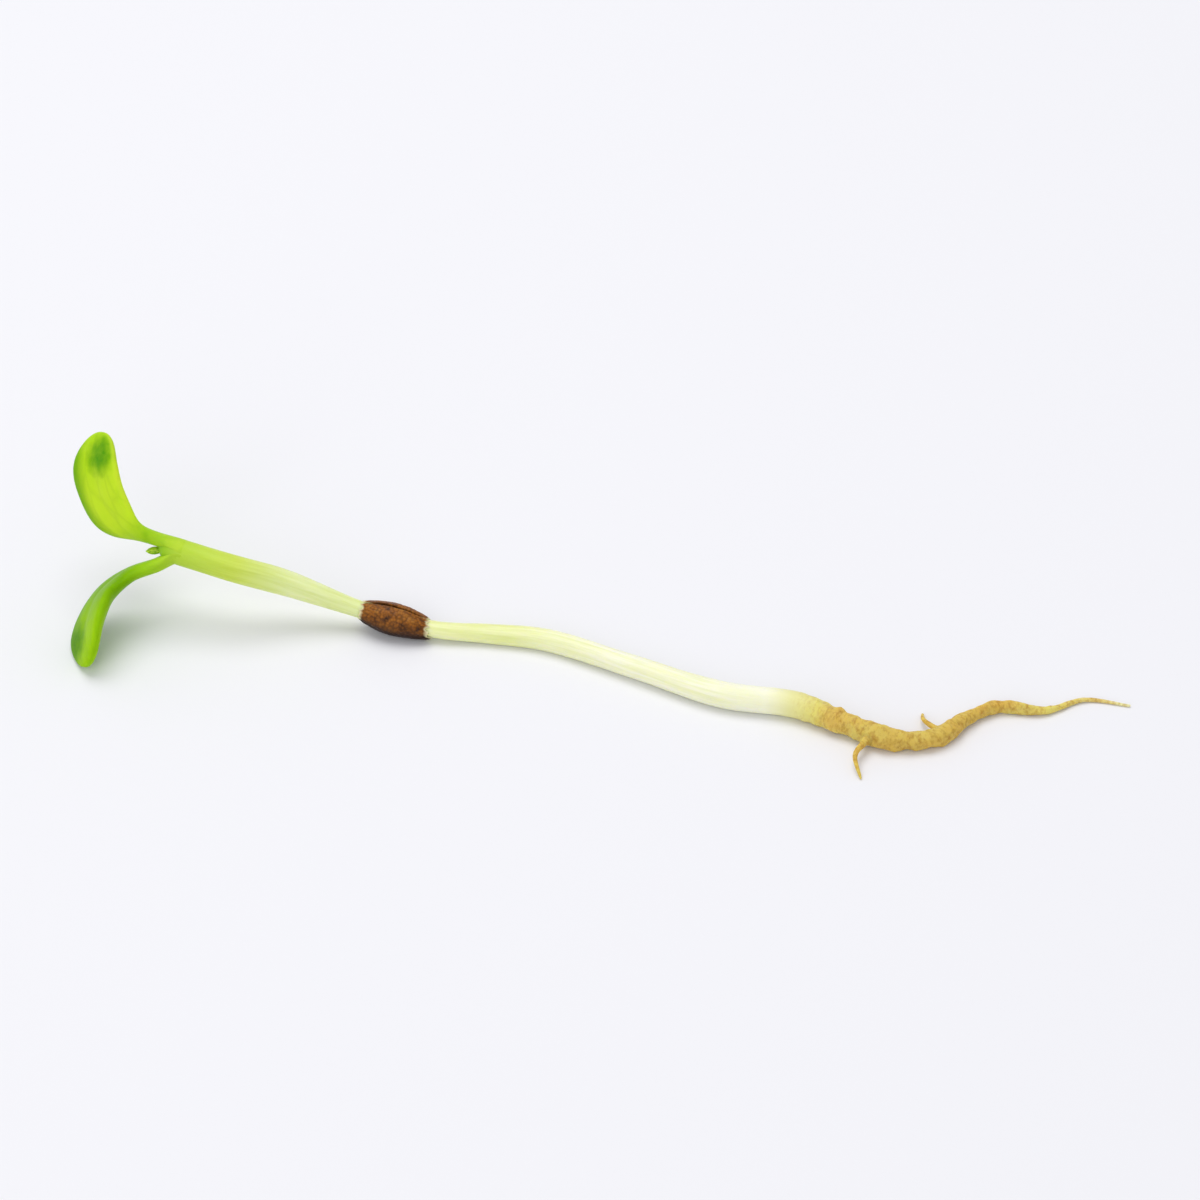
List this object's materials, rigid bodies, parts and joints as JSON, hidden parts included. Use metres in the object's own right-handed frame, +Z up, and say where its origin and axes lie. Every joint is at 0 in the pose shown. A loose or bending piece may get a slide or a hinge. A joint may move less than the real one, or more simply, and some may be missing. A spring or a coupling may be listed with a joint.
{
  "type": "alfalfa sprout",
  "caption": "Young alfalfa sprout lying on a surface: white stem, spread green seed leaves, seed husk round the stem, tan root.",
  "frame": {"origin": "on the surface it lies on, under the middle of its bounding box", "axes": "+X along the sprout from the seed leaves to the root tip, +Y across it towards the side that the upper seed leaf points to, +Z up"},
  "size_m": [0.0404, 0.0136, 0.0064],
  "materials": {
    "stem": "smooth, moist and translucent",
    "seed_leaf_bright": "smooth, waxy and fleshy",
    "seed_leaf_green": "smooth, waxy and fleshy",
    "bud": "soft and slightly downy",
    "husk": "dry, finely pebbled, with a faint gloss",
    "root": "wrinkled, moist"
  },
  "bodies": {
    "root": {"stem": "stem", "cotyledon_upper": "seed_leaf_bright", "cotyledon_lower": "seed_leaf_green", "first_leaf_bud": "bud", "seed_coat": "husk", "taproot": "root", "side_rootlet_1": "root", "side_rootlet_2": "root"}
  },
  "joints": []
}
